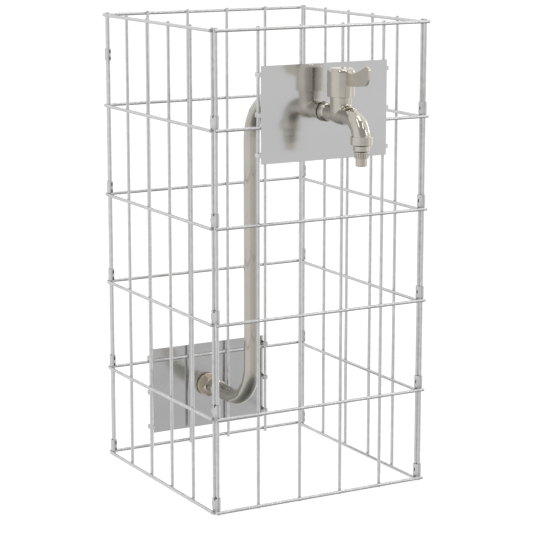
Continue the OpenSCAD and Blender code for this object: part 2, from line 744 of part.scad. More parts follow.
// Grooved ring pressed on the nozzle
module grip_ring() color(nickel) difference() {
  upright_ring(outlet_y, nozzle_z, grip_ring_d, ring_seat_d + 2 * thread_gap, grip_ring_len);
  for (i = [0:grip_grooves - 1]) translate([0, outlet_y, nozzle_z]) rotate([0, 0, i * 360 / grip_grooves])
    translate([grip_ring_d / 2 + groove_set, 0, groove_rim])
      cylinder(d = groove_d, h = grip_ring_len - 2 * groove_rim);
}

placed() front_panel();
placed() back_panel();
placed() left_panel();
placed() right_panel();
placed() front_left_clips();
placed() front_right_clips();
placed() back_left_clips();
placed() back_right_clips();
placed() front_plate();
placed() back_plate();
placed() riser_pipe();
placed() tap_socket();
placed() socket_gasket();
placed() inlet_fitting();
placed() inlet_gasket();
placed() inlet_washer();
placed() inlet_lock_nut();
placed() wall_collar();
placed() tap_body();
placed() cartridge_body();
placed() head_seal();
placed() seat_seal();
placed() fixed_disc();
placed() moving_disc();
placed() spindle();
placed() spindle_rings();
placed() lever_handle();
placed() grub_screw();
placed() hose_adapter();
placed() outlet_washer();
placed() grip_ring();
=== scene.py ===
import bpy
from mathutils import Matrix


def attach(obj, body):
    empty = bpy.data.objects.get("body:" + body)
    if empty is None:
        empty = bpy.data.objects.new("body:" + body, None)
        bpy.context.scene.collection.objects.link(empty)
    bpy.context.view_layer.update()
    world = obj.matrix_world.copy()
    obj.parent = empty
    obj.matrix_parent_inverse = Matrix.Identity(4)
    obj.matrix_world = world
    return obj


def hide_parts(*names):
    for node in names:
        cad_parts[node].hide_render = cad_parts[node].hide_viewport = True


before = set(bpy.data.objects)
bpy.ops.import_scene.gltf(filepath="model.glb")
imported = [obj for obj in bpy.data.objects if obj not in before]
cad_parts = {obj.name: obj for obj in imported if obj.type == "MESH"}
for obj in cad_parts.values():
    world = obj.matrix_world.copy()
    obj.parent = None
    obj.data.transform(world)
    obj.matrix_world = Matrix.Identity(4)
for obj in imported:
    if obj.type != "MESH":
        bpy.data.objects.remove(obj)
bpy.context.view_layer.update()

from math import atan2, cos, hypot, pi, radians, sin

import bmesh
import bpy
from mathutils import Matrix, Vector

# Camera: it stands at the left in front of the cage, a little above the tap, and looks
# slightly down through a long lens, so that three upright edges of the cage spread apart.
camera_at = (-1.04220, -1.83332, 0.65760)
camera_turn = 0.5121
camera_dip = 0.1975
lens_px = 1972.76
frame_px = 533
bpy.ops.object.camera_add(location=camera_at, rotation=(pi / 2 - camera_dip, 0, -camera_turn))
camera = bpy.context.object
camera.data.sensor_width = 36
camera.data.lens = lens_px / frame_px * camera.data.sensor_width
bpy.context.scene.camera = camera

# Cage panels: drawn steel wire of 3.5 mm, zinc coated, six uprights and six cross wires each.
# A press lays the cross wires on the uprights and welds every crossing with a flattened bead.
# The wire ends are sheared, which leaves a small worn chamfer.
MM = 0.001
wire_r = 1.75
wire_sides = 20
wire_chamfer = 0.3
bead_half = (2.15, 1.25, 2.15)
bead_rough = 0.14
cage_h = 506
row_z = [3, 103, 203, 303, 403, 503]
cross_set = 3.3
cage_mid = (0.225, 31.5)
front_y, back_y = -95.0, 158.0
left_x, right_x = -125.075, 125.525
front_edges, back_edges, side_edges = (-123.1, 126.9), (-125, 125), (-122.8, 122.8)
inner_x = (-75, -25, 25, 75)
front_overhang, side_overhang = 3, 2
weld_tolerance = 0.002
sliver = 0.01


def metres(point):
    return [c * MM for c in point]


def choose_faces(wanted):
    mesh = bmesh.from_edit_mesh(bpy.context.object.data)
    bpy.ops.mesh.select_all(action="DESELECT")
    for face in mesh.faces:
        face.select_set(wanted(face.calc_center_median(), face.normal))
    bmesh.update_edit_mesh(bpy.context.object.data)


def choose_points(wanted):
    mesh = bmesh.from_edit_mesh(bpy.context.object.data)
    bpy.ops.mesh.select_mode(type="VERT")
    bpy.ops.mesh.select_all(action="DESELECT")
    for point in mesh.verts:
        point.select_set(wanted(point.co))
    mesh.select_flush_mode()
    bmesh.update_edit_mesh(bpy.context.object.data)


def only(*pieces):
    bpy.ops.object.select_all(action="DESELECT")
    for piece in pieces:
        piece.select_set(True)
    bpy.context.view_layer.objects.active = pieces[0]


def copy_of(piece, shift):
    only(piece)
    bpy.ops.object.duplicate(linked=False)
    bpy.ops.transform.translate(value=metres(shift))
    return bpy.context.object


def joined(name, pieces):
    only(*pieces)
    if len(pieces) > 1:
        bpy.ops.object.join()
    bpy.context.object.name = name
    return bpy.context.object


def settle(piece, turn=(0, 0, 0), at=(0, 0, 0)):
    only(piece)
    piece.rotation_euler = turn
    piece.location = metres(at)
    bpy.ops.object.transform_apply(location=True, rotation=True, scale=True)
    return piece


def closed_up(piece, angle=35):
    only(piece)
    bpy.ops.object.mode_set(mode="EDIT")
    bpy.ops.mesh.select_all(action="SELECT")
    bpy.ops.mesh.remove_doubles(threshold=weld_tolerance * MM)
    bpy.ops.mesh.normals_make_consistent(inside=False)
    bpy.ops.object.mode_set(mode="OBJECT")
    bpy.ops.object.shade_smooth_by_angle(angle=radians(angle))
    return piece


def add_modifier(piece, kind, **values):
    only(piece)
    modifier = piece.modifiers.new(kind.lower(), kind)
    for key, value in values.items():
        setattr(modifier, key, value)
    bpy.ops.object.modifier_apply(modifier=modifier.name)
    if kind in ("BEVEL", "BOOLEAN"):
        bpy.ops.object.mode_set(mode="EDIT")
        bpy.ops.mesh.select_all(action="SELECT")
        bpy.ops.mesh.dissolve_degenerate(threshold=sliver * MM)
        bpy.ops.object.mode_set(mode="OBJECT")


def ease_edges(piece, width, angle):
    add_modifier(piece, "BEVEL", width=width * MM, segments=2, limit_method="ANGLE",
                 angle_limit=radians(angle))


def node_group(name, inputs, outputs):
    group = bpy.data.node_groups.new(name, "ShaderNodeTree")
    for label, kind in inputs:
        group.interface.new_socket(name=label, in_out="INPUT", socket_type="NodeSocket" + kind)
    for label, kind in outputs:
        group.interface.new_socket(name=label, in_out="OUTPUT", socket_type="NodeSocket" + kind)
    return group, group.nodes.new("NodeGroupInput"), group.nodes.new("NodeGroupOutput")


# Patchy metal skin: a coarse cloud shifts the tone, coarse cloud and fine grain together shift
# the gloss, and the grain lifts the surface.
metal_skin, skin_in, skin_out = node_group(
    "metal_skin",
    [("Place", "Vector"), ("Tone", "Color"), ("Shade", "Color"), ("Patch", "Float"), ("Grain", "Float"),
     ("Gloss", "Float"), ("Dull", "Float")],
    [("Colour", "Color"), ("Roughness", "Float"), ("Height", "Float")])
wire_up = metal_skin.links.new
skin_patch = metal_skin.nodes.new("ShaderNodeTexNoise")
skin_patch.inputs["Detail"].default_value = 4
skin_grain = metal_skin.nodes.new("ShaderNodeTexNoise")
skin_grain.inputs["Detail"].default_value = 2
skin_mix = metal_skin.nodes.new("ShaderNodeMix")
skin_mix.data_type = "RGBA"
skin_spread = metal_skin.nodes.new("ShaderNodeMapRange")
skin_spread.inputs["From Min"].default_value = 0.3
skin_spread.inputs["From Max"].default_value = 0.7
skin_blend = metal_skin.nodes.new("ShaderNodeMath")
skin_blend.operation = "MULTIPLY_ADD"
skin_blend.inputs[1].default_value = 0.5
skin_rough = metal_skin.nodes.new("ShaderNodeMapRange")
skin_rough.inputs["From Min"].default_value = 0.4
skin_rough.inputs["From Max"].default_value = 1.1
for noise, size in ((skin_patch, "Patch"), (skin_grain, "Grain")):
    wire_up(skin_in.outputs["Place"], noise.inputs["Vector"])
    wire_up(skin_in.outputs[size], noise.inputs["Scale"])
wire_up(skin_patch.outputs["Fac"], skin_spread.inputs["Value"])
wire_up(skin_spread.outputs["Result"], skin_mix.inputs["Factor"])
wire_up(skin_in.outputs["Shade"], skin_mix.inputs["A"])
wire_up(skin_in.outputs["Tone"], skin_mix.inputs["B"])
wire_up(skin_grain.outputs["Fac"], skin_blend.inputs[0])
wire_up(skin_patch.outputs["Fac"], skin_blend.inputs[2])
wire_up(skin_blend.outputs["Value"], skin_rough.inputs["Value"])
wire_up(skin_in.outputs["Gloss"], skin_rough.inputs["To Min"])
wire_up(skin_in.outputs["Dull"], skin_rough.inputs["To Max"])
wire_up(skin_mix.outputs["Result"], skin_out.inputs["Colour"])
wire_up(skin_rough.outputs["Result"], skin_out.inputs["Roughness"])
wire_up(skin_grain.outputs["Fac"], skin_out.inputs["Height"])


def metal(name, tone, shade, patch_mm, grain_mm, gloss, dull, lift_mm, stretch=(1, 1, 1), metallic=1.0):
    finish = bpy.data.materials.new(name)
    finish.use_nodes = True
    nodes, link = finish.node_tree.nodes, finish.node_tree.links.new
    shader = nodes["Principled BSDF"]
    shader.inputs["Metallic"].default_value = metallic
    place = nodes.new("ShaderNodeTexCoord")
    grain_way = nodes.new("ShaderNodeMapping")
    grain_way.inputs["Scale"].default_value = stretch
    skin = nodes.new("ShaderNodeGroup")
    skin.node_tree = metal_skin
    for label, value in (("Tone", (*tone, 1)), ("Shade", (*shade, 1)), ("Patch", 1 / (patch_mm * MM)),
                         ("Grain", 1 / (grain_mm * MM)), ("Gloss", gloss), ("Dull", dull)):
        skin.inputs[label].default_value = value
    bump = nodes.new("ShaderNodeBump")
    bump.inputs["Strength"].default_value = 0.6
    bump.inputs["Distance"].default_value = lift_mm * MM
    link(place.outputs["Object"], grain_way.inputs["Vector"])
    link(grain_way.outputs["Vector"], skin.inputs["Place"])
    link(skin.outputs["Colour"], shader.inputs["Base Color"])
    link(skin.outputs["Roughness"], shader.inputs["Roughness"])
    link(skin.outputs["Height"], bump.inputs["Height"])
    link(bump.outputs["Normal"], shader.inputs["Normal"])
    return finish


zinc_wire = metal("zinc_wire", (0.785, 0.785, 0.787), (0.665, 0.665, 0.668),
                  patch_mm=7, grain_mm=0.7, gloss=0.15, dull=0.28, lift_mm=0.008)
weld_bead = metal("weld_bead", (0.52, 0.51, 0.50), (0.36, 0.35, 0.34),
                  patch_mm=2, grain_mm=0.5, gloss=0.32, dull=0.55, lift_mm=0.06)


def sheared_wire(length, middle, turn):
    bpy.ops.object.select_all(action="DESELECT")
    bpy.ops.mesh.primitive_cylinder_add(vertices=wire_sides, radius=wire_r * MM, depth=length * MM)
    bpy.ops.object.mode_set(mode="EDIT")
    choose_faces(lambda middle, normal: abs(normal.z) > 0.9)
    bpy.ops.mesh.bevel(offset=wire_chamfer * MM, segments=2, affect="EDGES")
    bpy.ops.mesh.select_all(action="SELECT")
    bpy.ops.mesh.dissolve_degenerate(threshold=sliver * MM)
    bpy.ops.object.mode_set(mode="OBJECT")
    wire = bpy.context.object
    wire.data.materials.append(zinc_wire)
    return settle(wire, turn, middle)


def pressed_bead(at):
    bpy.ops.object.select_all(action="DESELECT")
    bpy.ops.mesh.primitive_ico_sphere_add(subdivisions=2, radius=1 * MM)
    bpy.ops.object.mode_set(mode="EDIT")
    bpy.ops.mesh.select_all(action="SELECT")
    bpy.ops.transform.resize(value=bead_half)
    bpy.ops.transform.vertex_random(offset=bead_rough * MM, seed=5)
    bpy.ops.object.mode_set(mode="OBJECT")
    bead = bpy.context.object
    bead.data.materials.append(weld_bead)
    return settle(bead, at=at)


def welded_panel(node, edges, overhang, cross_y, turn, at):
    uprights = [edges[0], *inner_x, edges[1]]
    start, end = uprights[0] - overhang, uprights[-1] + overhang
    first = sheared_wire(cage_h, (uprights[0], 0, cage_h / 2), (0, 0, 0))
    pieces = [first] + [copy_of(first, (x - uprights[0], 0, 0)) for x in uprights[1:]]
    cross = sheared_wire(end - start, ((start + end) / 2, cross_y, row_z[0]), (0, pi / 2, 0))
    bead = pressed_bead((uprights[0], cross_y / 2, row_z[0]))
    beads = joined("beads", [bead] + [copy_of(bead, (x - uprights[0], 0, 0)) for x in uprights[1:]])
    for z in row_z[1:]:
        pieces += [copy_of(cross, (0, 0, z - row_z[0])), copy_of(beads, (0, 0, z - row_z[0]))]
    panel = joined(node + "_mesh", pieces + [cross, beads])
    settle(panel, turn, at)
    bpy.ops.object.shade_smooth_by_angle(angle=radians(22))
    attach(panel, "standpipe")
    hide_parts(node)


quarter = (0, 0, pi / 2)
welded_panel("front_panel", front_edges, front_overhang, -cross_set, (0, 0, 0), (cage_mid[0], front_y, 0))
welded_panel("back_panel", back_edges, front_overhang, cross_set, (0, 0, 0), (cage_mid[0], back_y, 0))
welded_panel("left_panel", side_edges, side_overhang, cross_set, quarter, (left_x, cage_mid[1], 0))
welded_panel("right_panel", side_edges, side_overhang, cross_set, quarter, (right_x, cage_mid[1], 0))

# Corner clips: strips of zinc-coated sheet folded round the two edge wires of a corner.
# A tongue closes each clip at the side wire, and the windows beside it show a near-black lining sheet set
# just inside, painted shade.
# Five clips hold each corner, just above the cross wires; one at the back left has slid up.
clip_h = 13
clip_t = 0.6
clip_mid_r = 2.5
clip_back, clip_lining = 0.4, 0.1
clip_edge = 0.14
clip_above_cross = 8.65
clip_z = [z + clip_above_cross for z in row_z[:5]]
front_left, front_right = [(cage_mid[0] + x, front_y) for x in front_edges]
back_left, back_right = [(cage_mid[0] + x, back_y) for x in back_edges]
side_front_y, side_back_y = [cage_mid[1] + y for y in side_edges]
slid_up = 48
clip_zinc = metal("clip_zinc", (0.75, 0.75, 0.75), (0.65, 0.65, 0.652),
                  patch_mm=5, grain_mm=0.6, gloss=0.24, dull=0.42, lift_mm=0.03)
# Painted shade: a near-black lining inside each clip, seen through its windows.
clip_painted_shade = metal("clip_painted_shade", (0.045, 0.045, 0.047), (0.02, 0.02, 0.021),
                    patch_mm=2, grain_mm=0.4, gloss=0.45, dull=0.7, lift_mm=0.03)


def corner_clips(node, first, second, windows, slid=0):
    run = (second[0] - first[0], second[1] - first[1])
    length = hypot(*run)
    middle = ((first[0] + second[0]) / 2 - cage_mid[0], (first[1] + second[1]) / 2 - cage_mid[1])
    inward = 1 if -run[1] * middle[0] + run[0] * middle[1] < 0 else -1
    bpy.ops.object.select_all(action="DESELECT")
    bpy.ops.mesh.primitive_cylinder_add(vertices=32, radius=clip_mid_r * MM, depth=clip_h * MM,
                                        end_fill_type="NOTHING")
    clip = settle(bpy.context.object)
    bpy.ops.object.mode_set(mode="EDIT")
    choose_points(lambda point: point.x > 0)
    bpy.ops.transform.translate(value=(length * MM, 0, 0))
    for (start, end), (low, high), sides in windows:
        for place, way in (((start + length, 0, 0), (1, 0, 0)), ((end + length, 0, 0), (1, 0, 0)),
                           ((0, 0, low), (0, 0, 1)), ((0, 0, high), (0, 0, 1))):
            bpy.ops.mesh.select_all(action="SELECT")
            bpy.ops.mesh.bisect(plane_co=metres(place), plane_no=way)

    def in_window(mid, normal):
        x, y, z = mid.x / MM - length, mid.y / MM * inward, mid.z / MM
        return any(start < x < end and low < z < high and (y > 0) in sides
                   for (start, end), (low, high), sides in windows)

    choose_faces(in_window)
    bpy.ops.mesh.duplicate()
    bpy.ops.mesh.separate(type="SELECTED")
    choose_faces(in_window)
    bpy.ops.mesh.delete(type="FACE")
    bpy.ops.object.mode_set(mode="OBJECT")
    inside = [piece for piece in bpy.context.selected_objects if piece != clip][0]
    closed_up(clip)
    add_modifier(clip, "SOLIDIFY", thickness=clip_t * MM, offset=0, use_even_offset=True)
    ease_edges(clip, clip_edge, 50)
    clip.data.materials.append(clip_zinc)
    # The window faces, copied and set back, become the lining of painted shade.
    only(inside)
    bpy.ops.object.mode_set(mode="EDIT")
    bpy.ops.mesh.select_all(action="SELECT")
    bpy.ops.mesh.remove_doubles(threshold=weld_tolerance * MM)
    bpy.ops.transform.shrink_fatten(value=-clip_back * MM)
    bpy.ops.object.mode_set(mode="OBJECT")
    add_modifier(inside, "SOLIDIFY", thickness=clip_lining * MM, offset=0)
    inside.data.materials.append(clip_painted_shade)
    clip = joined("clip", [clip, inside])
    settle(clip, (0, 0, atan2(run[1], run[0])), (first[0], first[1], clip_z[0]))
    lifts = [z - clip_z[0] for z in clip_z[1:4]] + [clip_z[4] - clip_z[0] + slid]
    column = joined(node + "_sheet", [clip] + [copy_of(clip, (0, 0, lift)) for lift in lifts])
    bpy.ops.object.shade_smooth_by_angle(angle=radians(40))
    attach(column, "standpipe")
    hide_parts(node)


# Each window: its stretch along the clip from the side wire's middle, its heights and its sides,
# where True is the inside.
inside_only, outside_only, both = (True,), (False,), (True, False)
beside_tongue = [((0.3, 3.2), (1.2, 5.2), inside_only), ((0.3, 3.2), (-6.0, -2.4), inside_only)]
behind_tongue = [(stretch, heights, outside_only) for stretch, heights, sides in beside_tongue]
open_end = [((0.6, 3.2), (2.0, 6.6), both), ((0.6, 3.2), (-6.6, -2.0), both)]
top_notch = [((-2.9, -1.4), (4.6, 6.2), outside_only)]
mid_slots = [((1.5, 3.2), (-1.7, 1.7), inside_only), ((-1.0, 0.2), (-1.9, 1.7), inside_only)]
corner_clips("front_left_clips", front_left, (left_x, side_front_y), open_end + top_notch)
corner_clips("front_right_clips", front_right, (right_x, side_front_y), mid_slots)
corner_clips("back_left_clips", back_left, (left_x, side_back_y), beside_tongue, slid_up)
corner_clips("back_right_clips", back_right, (right_x, side_back_y), behind_tongue)

# Front and back plate: flat stainless sheet, 150 x 100 mm, cut with three narrow tabs on each side.
# The tabs are folded back and hooked round the mesh wires, and the pipe's end is clamped in the hole.
# The back sheet is painted a little darker than the front one as painted shade, and is a little rougher.
plate_w = 150
plate_h = 100
plate_t = 1.5
tab_h = 4.4
tab_t = 1.2
tab_z = [-41, 0, 41]
hook_r = 2.65
hook_back = 6.8
fold_r = 1.1
tab_root = 2
sheet_edge, tab_edge = 0.25, 0.2
along_sheet = (0.25, 1, 1)
front_plate_y, back_plate_y = -101.8, 164.8
plate_sheet = metal("plate_sheet", (0.75, 0.75, 0.75), (0.72, 0.72, 0.72),
                    patch_mm=60, grain_mm=0.5, gloss=0.11, dull=0.14, lift_mm=0.004, stretch=along_sheet)
# The same stainless sheet painted darker: painted shade for the back plate inside the cage.
shaded_sheet = metal("shaded_sheet", (0.635, 0.635, 0.635), (0.595, 0.595, 0.595),
                   patch_mm=60, grain_mm=0.5, gloss=0.12, dull=0.16, lift_mm=0.004, stretch=along_sheet)


def combine(piece, other, operation="DIFFERENCE"):
    add_modifier(piece, "BOOLEAN", object=other, operation=operation, solver="EXACT")
    only(other)
    bpy.ops.object.delete()


def hooked_tab():
    bpy.ops.object.select_all(action="DESELECT")
    bpy.ops.mesh.primitive_plane_add(size=1)
    bpy.ops.object.mode_set(mode="EDIT")
    choose_points(lambda point: point.x > 0)
    bpy.ops.mesh.delete(type="VERT")
    bpy.ops.mesh.select_all(action="SELECT")
    bpy.ops.transform.rotate(value=pi / 2, orient_axis="X", center_override=(0, 0, 0))
    bpy.ops.transform.resize(value=(1, 1, tab_h * MM), center_override=(0, 0, 0))
    bpy.ops.transform.translate(value=(0.5 + (plate_w / 2 - tab_root) * MM, plate_t / 2 * MM, 0))
    outward = metres((tab_root + hook_r - fold_r, 0, 0))
    backward = metres((0, hook_back - plate_t / 2 - fold_r, 0))
    bpy.ops.mesh.extrude_region_move(TRANSFORM_OT_translate={"value": outward})
    bpy.ops.mesh.spin(steps=6, angle=-pi / 2, axis=(0, 0, 1), center=metres(
        (plate_w / 2 + hook_r - fold_r, plate_t / 2 + fold_r, 0)))
    bpy.ops.mesh.extrude_region_move(TRANSFORM_OT_translate={"value": backward})
    bpy.ops.mesh.spin(steps=12, angle=-pi, axis=(0, 0, 1), center=metres((plate_w / 2, hook_back, 0)))
    bpy.ops.object.mode_set(mode="OBJECT")
    tab = closed_up(bpy.context.object)
    add_modifier(tab, "SOLIDIFY", thickness=tab_t * MM, offset=0, use_even_offset=True)
    ease_edges(tab, tab_edge, 50)
    return tab


def hooked_plate(node, finish, hole_r, turn, at):
    bpy.ops.object.select_all(action="DESELECT")
    bpy.ops.mesh.primitive_cube_add(size=1)
    plate = bpy.context.object
    plate.scale = metres((plate_w, plate_t, plate_h))
    settle(plate, at=(0, plate_t / 2, 0))
    bpy.ops.object.select_all(action="DESELECT")
    bpy.ops.mesh.primitive_cylinder_add(vertices=48, radius=hole_r * MM, depth=10 * MM,
                                        rotation=(pi / 2, 0, 0))
    combine(plate, bpy.context.object)
    ease_edges(plate, sheet_edge, 50)
    tab = hooked_tab()
    right = joined("tabs", [tab] + [copy_of(tab, (0, 0, z)) for z in (tab_z[0], tab_z[2])])
    left = copy_of(right, (0, 0, 0))
    left.scale = (-1, 1, 1)
    closed_up(settle(left))
    plate = joined(node + "_sheet", [plate, right, left])
    plate.data.materials.append(finish)
    settle(plate, turn, at)
    bpy.ops.object.shade_smooth_by_angle(angle=radians(16))
    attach(plate, "standpipe")
    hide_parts(node)


tap_z, tap_hole_r = 416, 8.63
inlet_z, inlet_hole_r = 66.3, 10.78
hooked_plate("front_plate", plate_sheet, tap_hole_r, (0, 0, 0), (cage_mid[0], front_plate_y, tap_z))
hooked_plate("back_plate", shaded_sheet, inlet_hole_r, (0, 0, pi), (cage_mid[0], back_plate_y, inlet_z))

# Riser pipe: one bright drawn stainless tube of 18 mm, bent twice on a pipe bender.
# Its two ends are soldered into the socket at the front and the inlet fitting at the back.
pipe_r = 9
bend_r = 48
pipe_x = cage_mid[0]
pipe_wall = 1
riser_y = 54.5
pipe_start_y, pipe_end_y = -85.3, 148.3
bend_steps = 18
pipe_steel = metal("pipe_steel", (0.62, 0.594, 0.53), (0.56, 0.535, 0.475),
                   patch_mm=45, grain_mm=0.6, gloss=0.07, dull=0.12, lift_mm=0.004)
bpy.ops.object.select_all(action="DESELECT")
bpy.ops.mesh.primitive_circle_add(vertices=40, radius=pipe_r * MM, rotation=(pi / 2, 0, 0),
                                  location=metres((pipe_x, pipe_start_y, tap_z)))
riser = settle(bpy.context.object, (pi / 2, 0, 0), (pipe_x, pipe_start_y, tap_z))
bpy.ops.object.mode_set(mode="EDIT")
bpy.ops.mesh.select_all(action="SELECT")
upper_run = (0, riser_y - bend_r - pipe_start_y, 0)
drop = (0, 0, inlet_z - tap_z + 2 * bend_r)
lower_run = (0, pipe_end_y - riser_y - bend_r, 0)
bpy.ops.mesh.extrude_region_move(TRANSFORM_OT_translate={"value": metres(upper_run)})
bpy.ops.mesh.spin(steps=bend_steps, angle=pi / 2, axis=(1, 0, 0),
                  center=metres((pipe_x, riser_y - bend_r, tap_z - bend_r)))
bpy.ops.mesh.extrude_region_move(TRANSFORM_OT_translate={"value": metres(drop)})
bpy.ops.mesh.spin(steps=bend_steps, angle=-pi / 2, axis=(1, 0, 0),
                  center=metres((pipe_x, riser_y + bend_r, inlet_z + bend_r)))
bpy.ops.mesh.extrude_region_move(TRANSFORM_OT_translate={"value": metres(lower_run)})
bpy.ops.object.mode_set(mode="OBJECT")
closed_up(riser)
add_modifier(riser, "SOLIDIFY", thickness=pipe_wall * MM, offset=-1)
riser = joined("riser_tube", [riser])
riser.data.materials.append(pipe_steel)
bpy.ops.object.shade_smooth_by_angle(angle=radians(40))
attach(riser, "standpipe")
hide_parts("riser_pipe")

# Socket behind the front plate: a turned steel sleeve, soldered over the pipe's top end,
# with an inside thread at the plate that takes the tap's tail.
round_steps = 64


def turned(name, outline, turn=(0, 0, 0), at=(0, 0, 0), edge=0.0):
    bpy.ops.object.select_all(action="DESELECT")
    bpy.ops.mesh.primitive_plane_add(size=1 * MM)
    bpy.ops.object.mode_set(mode="EDIT")
    bpy.ops.mesh.merge(type="CENTER")
    bpy.ops.transform.translate(value=metres((outline[0][0], 0, outline[0][1])))
    for (r, z), (next_r, next_z) in zip(outline, outline[1:] + outline[:1]):
        step = metres((next_r - r, 0, next_z - z))
        bpy.ops.mesh.extrude_region_move(TRANSFORM_OT_translate={"value": step})
    bpy.ops.mesh.select_all(action="SELECT")
    bpy.ops.mesh.remove_doubles(threshold=weld_tolerance * MM)
    bpy.ops.mesh.spin(steps=round_steps, angle=2 * pi, axis=(0, 0, 1), center=(0, 0, 0))
    bpy.ops.object.mode_set(mode="OBJECT")
    piece = bpy.context.object
    piece.name = name
    closed_up(settle(piece, turn, at))
    if edge:
        ease_edges(piece, edge, 40)
        bpy.ops.object.shade_smooth_by_angle(angle=radians(35))
    add_modifier(piece, "WEIGHTED_NORMAL", keep_sharp=True)
    return piece


def arc(mid, r, start, end, steps=8):
    return [(mid[0] + r * cos(radians(start + (end - start) * i / steps)),
             mid[1] + r * sin(radians(start + (end - start) * i / steps))) for i in range(steps + 1)]


def fitted(piece, node, finish, body="standpipe", second=None, second_on=None):
    piece.data.materials.clear()
    piece.data.materials.append(finish)
    if second:
        piece.data.materials.append(second)
        for face in piece.data.polygons:
            face.material_index = 1 if second_on(face.center / MM) else 0
    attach(piece, body)
    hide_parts(node)


to_back = (-pi / 2, 0, 0)
to_front = (pi / 2, 0, 0)
sleeve_r, sleeve_bore_r, sleeve_depth = 10.65, 9.05, 14
tail_r, tail_depth = 8.38, 12
water_r = 7
socket_len, socket_edge = 28, 0.25
socket_y = -99.3
socket = turned("socket_sleeve", [
    (tail_r, 0), (sleeve_r, 0), (sleeve_r, socket_len - 1.4), (10.2, socket_len - 0.4), (9.3, socket_len),
    (sleeve_bore_r, socket_len), (sleeve_bore_r, sleeve_depth), (water_r, sleeve_depth),
    (water_r, tail_depth), (tail_r, tail_depth)], to_back, (pipe_x, socket_y, tap_z), socket_edge)
fitted(socket, "tap_socket", pipe_steel)

# Inlet fitting: turned from hexagon bar, with the soldered sleeve, spanner flats and flange inside
# the cage. Its G 1/2 thread passes the back plate and ends in the hose connection.
# It is brighter and warmer in tone than the pipe.
flats = 21.5
flats_chamfer = 1.1
flange_r, flange_round = 14.0, 0.4
flange_start, flange_end = 24, 28
fitting_len = 52
thread_r = 10.4775
thread_core_r = 9.4
thread_pitch = 1.814
fitting_at = (pipe_x, 134.3, inlet_z)


def hexagon_bar(across, length, start):
    flat_r, corner_r = across / 2 + 0.1, across / 2 / cos(pi / 6)
    end = start + length
    bpy.ops.object.select_all(action="DESELECT")
    bpy.ops.mesh.primitive_cylinder_add(vertices=6, radius=corner_r * MM, depth=length * MM,
                                        location=metres((0, 0, start + length / 2)), rotation=(0, 0, pi / 6))
    bar = settle(bpy.context.object, (0, 0, pi / 6), (0, 0, start + length / 2))
    lathe = turned("lathe", [(0, start), (flat_r, start), (corner_r + 0.1, start + flats_chamfer),
                             (corner_r + 0.1, end - flats_chamfer), (flat_r, end), (0, end)])
    combine(bar, lathe, "INTERSECT")
    return bar


def helix_thread(start, length):
    turns = int(length / thread_pitch) - 1
    flank, crest = thread_pitch * 0.41, thread_pitch * 0.04
    rise = thread_r - thread_core_r + 0.2
    bpy.ops.object.select_all(action="DESELECT")
    bpy.ops.mesh.primitive_plane_add(size=1 * MM)
    bpy.ops.object.mode_set(mode="EDIT")
    bpy.ops.mesh.merge(type="CENTER")
    bpy.ops.transform.translate(value=metres((thread_core_r - 0.3, 0, start + thread_pitch * 0.05)))
    for step in ((rise, 0, flank), (0.1, 0, crest), (-0.1, 0, crest), (-rise, 0, flank),
                 (0, 0, -2 * (flank + crest))):
        bpy.ops.mesh.extrude_region_move(TRANSFORM_OT_translate={"value": metres(step)})
    bpy.ops.mesh.select_all(action="SELECT")
    bpy.ops.mesh.remove_doubles(threshold=weld_tolerance * MM)
    bpy.ops.object.mode_set(mode="OBJECT")
    ridge = bpy.context.object
    add_modifier(ridge, "SCREW", axis="Z", angle=2 * pi, screw_offset=thread_pitch * MM, iterations=turns,
                 steps=36, render_steps=36, use_merge_vertices=False)
    bpy.ops.object.mode_set(mode="EDIT")
    bpy.ops.mesh.select_all(action="SELECT")
    bpy.ops.mesh.remove_doubles(threshold=weld_tolerance * MM)
    bpy.ops.mesh.select_all(action="SELECT")
    bpy.ops.mesh.fill_holes(sides=8)
    bpy.ops.object.mode_set(mode="OBJECT")
    return closed_up(ridge, 25)


rim_r = flange_r - flange_round
shank = turned("shank", [
    (sleeve_bore_r, 0), (9.3, 0), (10.2, 0.4), (sleeve_r, 1.4), (sleeve_r, 16), (sleeve_r, flange_start),
    (rim_r, flange_start)] + arc((rim_r, flange_start + flange_round), flange_round, -90, 0, 4)
    + arc((rim_r, flange_end - flange_round), flange_round, 0, 90, 4)
    + [(9.6, flange_end), (9.6, 39.5), (thread_core_r, 39.7), (thread_core_r, fitting_len - 0.6),
       (9.0, fitting_len), (7.5, fitting_len), (7.5, sleeve_depth), (sleeve_bore_r, sleeve_depth)])
spanner_bar = hexagon_bar(flats, flange_start - sleeve_depth, sleeve_depth)
threads = [helix_thread(start=39.0, length=13.0), helix_thread(start=30.6, length=8.0)]
fitting = joined("inlet_bush", [shank, spanner_bar] + threads)
settle(fitting, to_back, fitting_at)
bush_steel = metal("bush_steel", (0.79, 0.73, 0.61), (0.72, 0.66, 0.55),
                   patch_mm=12, grain_mm=0.5, gloss=0.06, dull=0.11, lift_mm=0.002)
fitted(fitting, "inlet_fitting", bush_steel)

# Inlet gasket: a ring stamped from black rubber, smaller than the flange in front of it.
# The lock nut behind the plate presses it between flange and plate.
gasket_y = fitting_at[1] + flange_end
rubber = metal("seal_rubber", (0.12, 0.12, 0.122), (0.07, 0.07, 0.071),
               patch_mm=6, grain_mm=0.4, gloss=0.45, dull=0.7, lift_mm=0.03, metallic=0.0)
gasket = turned("inlet_seal", [(10.6, 0), (11.4, 0)] + arc((11.4, 0.5), 0.5, -90, 90, 4) + [(10.6, 1)],
                to_back, (pipe_x, gasket_y, inlet_z))
fitted(gasket, "inlet_gasket", rubber)

